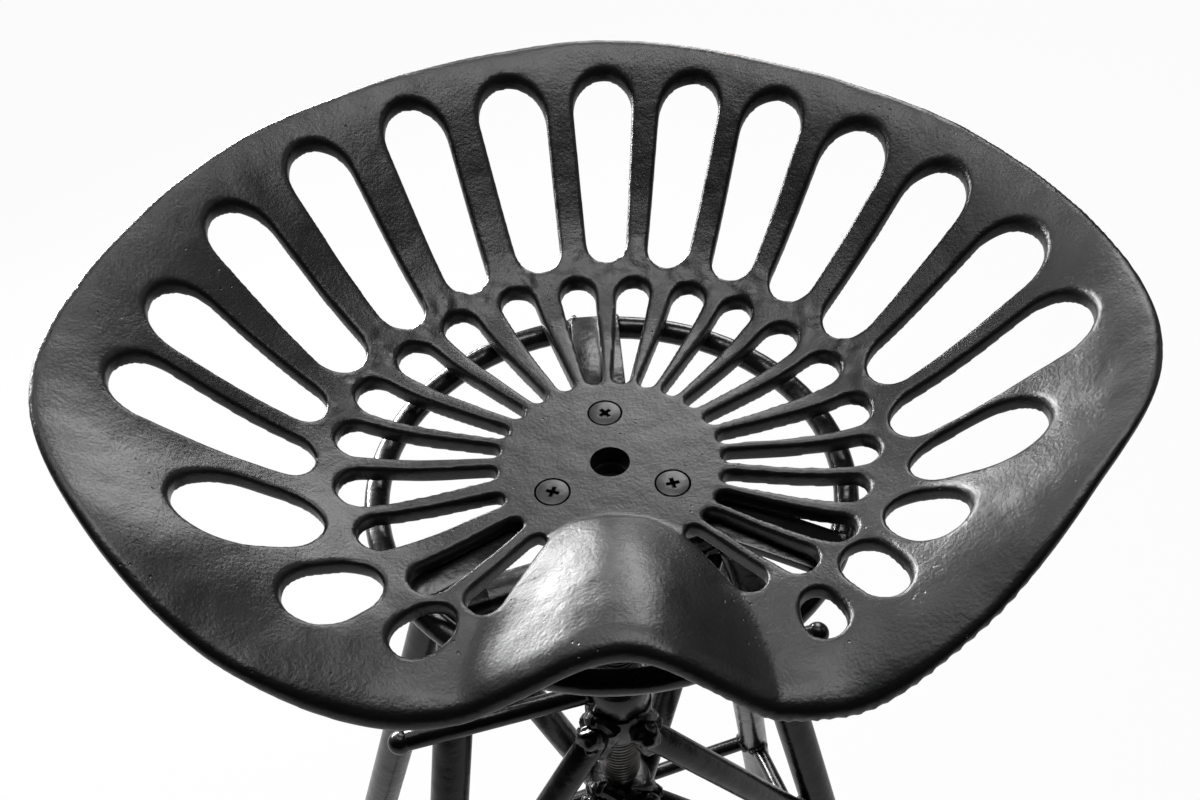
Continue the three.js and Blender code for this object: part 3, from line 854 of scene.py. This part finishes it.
def buildScrews():
    x, y = base["spindle"]
    for number, (name, turn) in enumerate(screwTurns.items()):
        top = base["height"]
        head = addDisc(screws["headRadius"], top - screws["headDepth"] * screws["headShare"], top)
        selectParts(head, "FACE", facesDown)
        bpy.ops.transform.resize(value=(screws["headFoot"], screws["headFoot"], 1))
        leaveEdit()
        softenEdges(head, screws["headBevel"])
        for spin in (0, 90):
            clearSelection()
            bpy.ops.mesh.primitive_cube_add(size=1)
            slot = bpy.context.object
            slot.scale = (screws["recessLength"], screws["recessWidth"], screws["recessDepth"] * 2)
            angle = math.radians(spin + screws["turn"] + screws["turnStep"] * number)
            slot.rotation_euler = (0, 0, angle)
            slot.location = (0, 0, top)
            placeMesh(slot)
            selectParts(slot, "FACE", facesDown)
            bpy.ops.transform.resize(value=(screws["recessFoot"], screws["recessFoot"], 1))
            leaveEdit()
            cutWith(head, slot)
        high = top - screws["headDepth"] * screws["shankShare"]
        shank = addDisc(screws["shank"], screws["foot"], high)
        piece = fuse(head, shank)
        out = heading(turn + spider["turn"]) * spider["screwCircle"]
        piece.location = Vector((x, y, 0)) + out
        node = "seat_screw_" + name
        finishPiece(piece, "hubScrew_" + name, "seat", "painted_screws", [node], 30)


buildSpider()
buildScrews()
print("spider and screws built")


# Seat


seat = {
    "thickness": 0.008, "edgeRadius": 0.003, "outerSlotEdge": 0.0009, "innerSlotEdge": 0.0006,
    "slotTrim": 0.0006, "ovalWidth": 1.06, "ovalShare": 1.1, "hubFlat": 0.060, "rimRadius": 0.200,
    "rimLift": 0.070, "rollShare": 2.2, "voxel": 0.00141, "smoothing": 3, "pommelRise": 0.024,
    "pommelStart": 0.027, "pommelLength": 0.088, "pommelHalfWidth": 0.056, "crestRight": 0.007,
    "crestRoundness": 1.5, "ledgeRise": 0.002, "lipDrop": 0.003, "lipReach": 0.013,
    "notchDepth": 0.0006, "lumpRise": 0.0005, "flashRise": 0.0016, "boreRadius": 0.0079,
    "sinkGap": 0.0007, "innerSlotStart": 0.048, "innerSlotInner": 0.004, "slotSides": 56,
    "cutterReach": 0.03, "boreReach": 0.02, "sinkReach": 0.01, "outlineSteps": 16,
    "edgeSegments": 4, "quickVoxel": 0.003,
    # Pairs of values between which an effect eases in
    "ledgeStart": (0.025, 0.05), "ledgeSide": (0, 0.3), "lipFront": (0.6, 0.95),
    "notchStart": (-78, -70), "notchEnd": (-36, -28), "notchEdge": (-0.006, -0.001),
    "notchDrop": (0.002, 0.005), "lumpStart": (0.045, 0.08), "flashStart": (0.098, 0.105),
    "flashEnd": (0.116, 0.122), "flashBack": (0, 0.05), "flashTop": (-0.006, -0.001),
    # Waves round the rim, or noise to the metre: two scales and the share of the second
    "notchWaves": (100, 23, 0.3), "lumpScales": (38, 90, 0.5), "flashScale": 170,
}

# The next three lists are the rounded output of another program's fit to the photograph

# Turn from the right in degrees, then radius and height as shares
rimShares = [
    (-90, 0.526, 0), (-72, 0.597, 0), (-54, 0.708, 0), (-38, 0.798, 0.34),
    (-22, 0.882, 0.755), (-6, 0.985, 0.985), (14, 1, 0.98), (45, 0.959, 1.01),
    (90, 0.983, 1), (135, 0.99, 1.01), (165, 1.016, 1.005), (184, 1.039, 0.94),
    (202, 0.952, 0.765), (218, 0.848, 0.335), (234, 0.705, 0), (252, 0.578, 0),
]

# For both ends of each slot: turn in degrees, then distance and radius as shares of the rim's radius
outerSlotShares = [
    (-45, 0.515, 0.035, -47, 0.55, 0.042), (-32.5, 0.545, 0.05, -35.5, 0.6, 0.044),
    (-20.5, 0.595, 0.055, -22, 0.63, 0.065), (-8.2, 0.635, 0.06, -8, 0.73, 0.082),
    (4.3, 0.616, 0.061, 5.8, 0.842, 0.08), (18.5, 0.62, 0.06, 19.6, 0.84, 0.08),
    (33.2, 0.612, 0.058, 34.7, 0.828, 0.074), (48, 0.608, 0.053, 49, 0.814, 0.076),
    (61.6, 0.599, 0.05, 63, 0.825, 0.07), (75.9, 0.6, 0.05, 76.1, 0.838, 0.07),
    (89.2, 0.605, 0.047, 89.3, 0.847, 0.069), (103.9, 0.603, 0.053, 103.2, 0.837, 0.078),
    (120.3, 0.6, 0.051, 118.3, 0.843, 0.072), (136.7, 0.601, 0.053, 134.1, 0.852, 0.072),
    (153, 0.628, 0.062, 149.9, 0.848, 0.074), (167.8, 0.625, 0.047, 166, 0.842, 0.074),
    (180.4, 0.625, 0.052, 178.3, 0.86, 0.073), (196.3, 0.637, 0.075, 195.3, 0.727, 0.094),
    (213, 0.566, 0.058, 213.3, 0.632, 0.068), (229, 0.497, 0.044, 228.5, 0.544, 0.048),
]

# Turns of both ends in degrees, then the distance and the radius of the far end as shares
innerSlotShares = [
    (-50, -50, 0.385, 0.036), (-37, -37, 0.43, 0.038), (-24.5, -25, 0.465, 0.038),
    (-11.8, -12.3, 0.47, 0.037), (2, -0.9, 0.49, 0.041), (14.5, 11.8, 0.494, 0.045),
    (28, 26.7, 0.49, 0.045), (42.8, 41, 0.48, 0.044), (56.5, 55.2, 0.487, 0.039),
    (69.8, 68.3, 0.487, 0.039), (83, 82.6, 0.485, 0.039), (96.5, 96.8, 0.485, 0.041),
    (111.5, 112.4, 0.49, 0.041), (127, 128.5, 0.49, 0.043), (141.6, 143.5, 0.488, 0.048),
    (156.6, 158.7, 0.504, 0.048), (170, 172.1, 0.506, 0.046), (184.3, 186.6, 0.486, 0.051),
    (201.6, 201, 0.468, 0.047), (219, 219, 0.435, 0.042), (234, 234, 0.4, 0.038),
]


def rimCurve(steps=24):
    # A closed centripetal curve through the rim's points
    places = []
    for turn, radiusShare, liftShare in rimShares:
        angle = math.radians(turn)
        radius = radiusShare * seat["rimRadius"]
        lift = liftShare * seat["rimLift"]
        places.append(np.array([radius * math.cos(angle), radius * math.sin(angle), lift]))
    points = []
    count = len(places)
    for index in range(count):
        before, start, end, after = [places[(index + shift) % count] for shift in (-1, 0, 1, 2)]
        pairs = ((before, start), (start, end), (end, after))
        first, middle, last = [math.sqrt(np.linalg.norm(b - a)) for a, b in pairs]
        leave = (start - before) / first - (end - before) / (first + middle) + (end - start) / middle
        arrive = (end - start) / middle - (after - start) / (middle + last) + (after - end) / last
        leave, arrive = leave * middle, arrive * middle
        for step in range(steps):
            t = step / steps
            square = -3 * start + 3 * end - 2 * leave - arrive
            cube = 2 * start - 2 * end + leave + arrive
            points.append(start + leave * t + square * t ** 2 + cube * t ** 3)
    return np.array(points)


rimLine = rimCurve()
rimTurns = np.degrees(np.arctan2(rimLine[:, 1], rimLine[:, 0]))


def rise(value, low, high):
    # Eases from 0 to 1 between two values
    share = np.clip((value - low) / (high - low), 0, 1)
    return share * share * (3 - 2 * share)


def pommelHeight(x, y):
    # An ellipse in plan, rounded across, that starts at the hub with a low ledge
    run = np.clip((-y - seat["pommelStart"]) / seat["pommelLength"], 0, 1)
    bulge = run * (2 - run)
    half = seat["pommelHalfWidth"] * np.sqrt(np.maximum(bulge, 1e-6))
    crest = seat["crestRight"] * bulge
    right, left = (x - crest) / np.maximum(half - crest, 1e-4), (crest - x) / (half + crest)
    across = np.where(x > crest, right, left)
    hump = np.cos(np.pi / 2 * np.clip(across, 0, 1)) ** seat["crestRoundness"]
    ledge = seat["ledgeRise"] * rise(run, *seat["ledgeStart"]) * rise(1 - across, *seat["ledgeSide"])
    ledge = ledge * (1 - run) ** 2
    return seat["pommelRise"] * bulge * hump + ledge


def seatHeight(x, y):
    turns = np.degrees(np.arctan2(y, x))
    rim = np.interp(turns, rimTurns, np.hypot(rimLine[:, 0], rimLine[:, 1]), period=360)
    lift = np.interp(turns, rimTurns, rimLine[:, 2], period=360)
    radius = np.hypot(x, y)
    run = np.maximum(0, (radius - seat["hubFlat"]) / (rim - seat["hubFlat"]))
    bowl = run ** 3 * (1 + seat["rollShare"] * (1 - run))
    front = rise(np.cos(np.radians(turns + 90)), *seat["lipFront"])
    lip = seat["lipDrop"] * front * np.clip(1 - (rim - radius) / seat["lipReach"], 0, 1) ** 2
    return lift * bowl + pommelHeight(x, y) - lip


def roughenEdge(points):
    # Cuts shallow notches into the edge at the front right, where the mould was broken out
    turns = np.degrees(np.arctan2(points[:, 1], points[:, 0]))
    radius = np.hypot(points[:, 0], points[:, 1])
    rim = np.interp(turns, rimTurns, np.hypot(rimLine[:, 0], rimLine[:, 1]), period=360)
    share = rise(turns, *seat["notchStart"]) * (1 - rise(turns, *seat["notchEnd"]))
    share = share * rise(radius - rim, *seat["notchEdge"])
    low = rise(-points[:, 2], *seat["notchDrop"])
    fine, broad, broadShare = seat["notchWaves"]
    wave = np.abs(np.sin(np.radians(turns * fine))) + broadShare * np.sin(np.radians(turns * broad))
    points[:, :2] *= (1 - share * low * seat["notchDepth"] * wave / np.maximum(radius, 0.01))[:, None]


def castLumps(points):
    # Slow unevenness of the cast faces, and rough flash at the far ends of the inner slots behind
    radius = np.hypot(points[:, 0], points[:, 1])
    broad, fine, fineShare = seat["lumpScales"]
    spots = [Vector(point) for point in points]
    lumps = [noise.noise(spot * broad) + fineShare * noise.noise(spot * fine) for spot in spots]
    points[:, 2] += seat["lumpRise"] * np.array(lumps) * rise(radius, *seat["lumpStart"])
    spots = [Vector(point) for point in points]
    flash = np.array([max(0, noise.noise(spot * seat["flashScale"] + up * 3)) for spot in spots])
    share = rise(radius, *seat["flashStart"]) * (1 - rise(radius, *seat["flashEnd"]))
    share = share * rise(points[:, 1], *seat["flashBack"])
    points[:, 2] += seat["flashRise"] * flash * share * rise(points[:, 2], *seat["flashTop"])


def slotEnd(turn, distance):
    angle = math.radians(turn)
    return Vector((distance * math.cos(angle), distance * math.sin(angle), 0))


def slotCutter(near, far, nearRadius, farRadius, edge):
    # An upright cutter round two end points, with ends of two sizes, that flares past both faces.
    # A short one is blended towards an oval.
    foot = -seat["thickness"]
    nearRadius, farRadius = nearRadius - seat["slotTrim"], farRadius - seat["slotTrim"]
    reach = seat["cutterReach"]
    levels = [(-reach, edge), (foot, edge), (foot + edge, 0), (-edge, 0), (0, edge), (reach, edge)]
    clearSelection()
    bpy.ops.mesh.primitive_circle_add(vertices=seat["slotSides"], radius=1, fill_type="NGON")
    cutter = bpy.context.object
    run = far - near
    lean = math.asin((farRadius - nearRadius) / run.length)
    middle, taper = (nearRadius + farRadius) / 2, (farRadius - nearRadius) / 2
    oval = min(1, max(0, seat["ovalShare"] - run.length / middle / 2))
    editAll(cutter, "FACE")
    for step in range(1, len(levels)):
        extrude(1)
    faceOutwards()
    for vertex in cutter.data.vertices:
        height, spread = levels[round(vertex.co.z)]
        angle = math.atan2(vertex.co.y, vertex.co.x)
        outer = abs(angle) <= math.pi / 2 + lean
        centre, radius = (run.length, farRadius + spread) if outer else (0, nearRadius + spread)
        straight = Vector((centre + radius * math.cos(angle), radius * math.sin(angle), height))
        long = run.length / 2 + middle + spread
        wide = (middle + taper * math.cos(angle)) * seat["ovalWidth"] + spread
        along = run.length / 2 + taper + long * math.cos(angle)
        rounded = Vector((along, wide * math.sin(angle), height))
        vertex.co = straight.lerp(rounded, oval)
    cutter.rotation_euler = (0, 0, math.atan2(run.y, run.x))
    cutter.location = near
    placeMesh(cutter)
    return cutter


def seatBlank():
    # The casting laid flat: the rim's outline, its thickness, a rounded edge and the slots
    clearSelection()
    outline = rimCurve(seat["outlineSteps"])
    bpy.ops.mesh.primitive_circle_add(vertices=len(outline), radius=1, fill_type="NGON")
    blank = bpy.context.object
    setVertices(blank, np.column_stack([outline[:, :2], np.zeros(len(outline))]))
    editAll(blank, "FACE")
    extrude(-seat["thickness"])
    faceOutwards()
    softenEdges(blank, seat["edgeRadius"], seat["edgeSegments"])
    cutters = []
    size = seat["rimRadius"]
    for nearTurn, near, nearSize, farTurn, far, farSize in outerSlotShares:
        ends = slotEnd(nearTurn, near * size), slotEnd(farTurn, far * size)
        cutters.append(slotCutter(*ends, nearSize * size, farSize * size, seat["outerSlotEdge"]))
    for nearTurn, farTurn, far, farSize in innerSlotShares:
        ends = slotEnd(nearTurn, seat["innerSlotStart"]), slotEnd(farTurn, far * size)
        cutters.append(slotCutter(*ends, seat["innerSlotInner"], farSize * size, seat["innerSlotEdge"]))
    cutWith(blank, fuse(*cutters))
    return blank


def buildSeat():
    casting = seatBlank()
    print("seat blank cut")
    voxel = seat["voxel"]
    modify(casting, "REMESH", mode="VOXEL", voxel_size=voxel, use_smooth_shade=True)
    modify(casting, "SMOOTH", factor=0.5, iterations=seat["smoothing"])
    points = getVertices(casting)
    roughenEdge(points)
    castLumps(points)
    points[:, 2] += seatHeight(points[:, 0], points[:, 1])
    setVertices(casting, points)
    print("seat dished")
    reach = seat["boreReach"]
    cutters = [addDisc(seat["boreRadius"], -reach, reach)]
    for turn in screwTurns.values():
        gap = seat["sinkGap"]
        foot = -screws["headDepth"] * screws["headShare"] - gap
        sink = addDisc(screws["headRadius"] + gap, foot, seat["sinkReach"])
        selectParts(sink, "FACE", facesDown)
        extrude(-reach)
        leaveEdit()
        sink.location = heading(turn + spider["turn"]) * spider["screwCircle"]
        placeMesh(sink)
        cutters.append(sink)
    cutWith(casting, fuse(*cutters))
    casting.location = (*base["spindle"], base["height"])
    finishPiece(casting, "castSeat", "seat", "cast_seat", ["seat_casting"], 50)
    print("seat has", len(casting.data.polygons), "faces")


buildSeat()

keptNodes = {
    "spider_plate": "tube_paint", "seat_nut_back": "bare_steel", "seat_nut_left": "bare_steel",
    "seat_nut_right": "bare_steel", "stop_washer": "bare_steel", "stop_bolt": "bare_steel",
}
for node, slot in keptNodes.items():
    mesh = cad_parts[node].data
    mesh.materials.clear()
    mesh.materials.append(finishes[slot])
print("seat built")


# Room and camera


room = {
    "floorSize": 6, "floorDrop": 0.0005, "floorShade": 0.3, "glow": 0.96, "glossyGlow": 0.35,
    "frontShade": 0.01, "backShade": 0.03, "shadeEdge": (-0.4, 0.5), "aimHeight": 0.65,
    # Name, place, width, height and power of each
    "lamps": [
        ("sideLamp", (-0.76, 0.92, 0.8), 0.9, 0.2, 62),
        ("lowLamp", (0.22, 1.11, 1.06), 0.4, 0.4, 5.5),
        ("backLamp", (0.16, 0.9, 1.46), 0.55, 0.35, 5.3),
        ("overLamp", (0.05, 0.1, 1.8), 0.8, 0.3, 6.5),
        ("rightLamp", (1.05, 0.28, 1.2), 0.5, 0.5, 0.6),
        ("leftLamp", (-0.55, 0.32, 1.71), 0.6, 0.5, 1.8),
    ],
}


def buildFloor():
    clearSelection()
    bpy.ops.mesh.primitive_plane_add(size=room["floorSize"], location=(0, 0, -room["floorDrop"]))
    floor = bpy.context.object
    floor.name = "studioFloor"
    finish = Finish("floorWhite")
    pale = (room["floorShade"],) * 3 + (1,)
    matt = finish.add("ShaderNodeBsdfDiffuse", {}, {"Color": pale})
    glow = finish.add("ShaderNodeEmission", {}, {"Color": (1, 1, 1, 1), "Strength": 1.0})
    camera = finish.add("ShaderNodeLightPath", out="Is Camera Ray")
    glossy = finish.add("ShaderNodeLightPath", out="Is Glossy Ray")
    clear = finish.add("ShaderNodeLightPath", out="Is Transmission Ray")
    share = (camera + clear) * room["glow"] + glossy * room["glossyGlow"]
    surface = finish.add("ShaderNodeMixShader", {}, {0: share, 1: matt, 2: glow})
    finish.add("ShaderNodeOutputMaterial", {}, {"Surface": surface})
    floor.data.materials.append(finish.material)


def lightRoom():
    world = bpy.data.worlds.new("studio")
    bpy.context.scene.world = world
    world.use_nodes = True
    nodes, links = world.node_tree.nodes, world.node_tree.links
    nodes.clear()
    path = nodes.new("ShaderNodeLightPath")
    place = nodes.new("ShaderNodeTexCoord")
    split = nodes.new("ShaderNodeSeparateXYZ")
    links.new(place.outputs["Generated"], split.inputs[0])
    front = nodes.new("ShaderNodeMapRange")
    front.interpolation_type = "SMOOTHSTEP"
    links.new(split.outputs["Y"], front.inputs["Value"])
    ends = (*room["shadeEdge"], room["frontShade"], room["backShade"])
    for name, value in zip(("From Min", "From Max", "To Min", "To Max"), ends):
        front.inputs[name].default_value = value
    shade = nodes.new("ShaderNodeMix")
    links.new(front.outputs["Result"], shade.inputs["A"])
    shade.inputs["B"].default_value = 1
    links.new(path.outputs["Is Camera Ray"], shade.inputs["Factor"])
    background = nodes.new("ShaderNodeBackground")
    background.inputs["Color"].default_value = (room["glow"],) * 3 + (1,)
    links.new(shade.outputs["Result"], background.inputs["Strength"])
    output = nodes.new("ShaderNodeOutputWorld")
    links.new(background.outputs[0], output.inputs["Surface"])
    target = Vector((*base["spindle"], room["aimHeight"]))
    for name, place, width, height, power in room["lamps"]:
        lamp = bpy.data.lights.new(name, "AREA")
        lamp.shape = "RECTANGLE"
        lamp.size = width
        lamp.size_y = height
        lamp.energy = power
        holder = bpy.data.objects.new(name, lamp)
        bpy.context.scene.collection.objects.link(holder)
        holder.location = place
        holder.rotation_euler = (target - Vector(place)).to_track_quat("-Z", "Y").to_euler()


view = {
    "focal": 1500, "frame": (1200, 800), "hub": (610.0, 461.7), "down": 47.6, "roll": 1.96,
    "reach": 0.591, "sensor": 36, "clip": (0.01, 50),
}


def placeCamera():
    # Looks straight at the hub, then turns so that the hub falls on its place in the picture
    width, height = view["frame"]
    focal = view["focal"]
    down, roll = math.radians(view["down"]), math.radians(view["roll"])
    back = Vector((0, -math.cos(down), math.sin(down)))
    forward = -back
    right = Vector((1, 0, 0))
    low = forward.cross(right)
    turnedRight = right * math.cos(roll) + low * math.sin(roll)
    turnedLow = low * math.cos(roll) - right * math.sin(roll)
    square = Matrix((turnedRight, turnedLow, forward))
    hubX, hubY = view["hub"]
    sight = Vector(((hubX - width / 2) / focal, (hubY - height / 2) / focal, 1)).normalized()
    turn = up.rotation_difference(sight).to_matrix()
    rows = turn @ square
    x, y, z = rows[0], -rows[1], -rows[2]
    camera = bpy.data.objects.new("photoCamera", bpy.data.cameras.new("photoCamera"))
    bpy.context.scene.collection.objects.link(camera)
    camera.data.sensor_width = view["sensor"]
    camera.data.lens = focal / width * view["sensor"]
    camera.data.clip_start, camera.data.clip_end = view["clip"]
    pose = Matrix((x, y, z)).transposed().to_4x4()
    pose.translation = Vector((*base["spindle"], base["height"])) + back * view["reach"]
    camera.matrix_world = pose
    bpy.context.scene.camera = camera


buildFloor()
lightRoom()
placeCamera()
bpy.context.scene.view_settings.view_transform = "Standard"

print("room and camera placed")
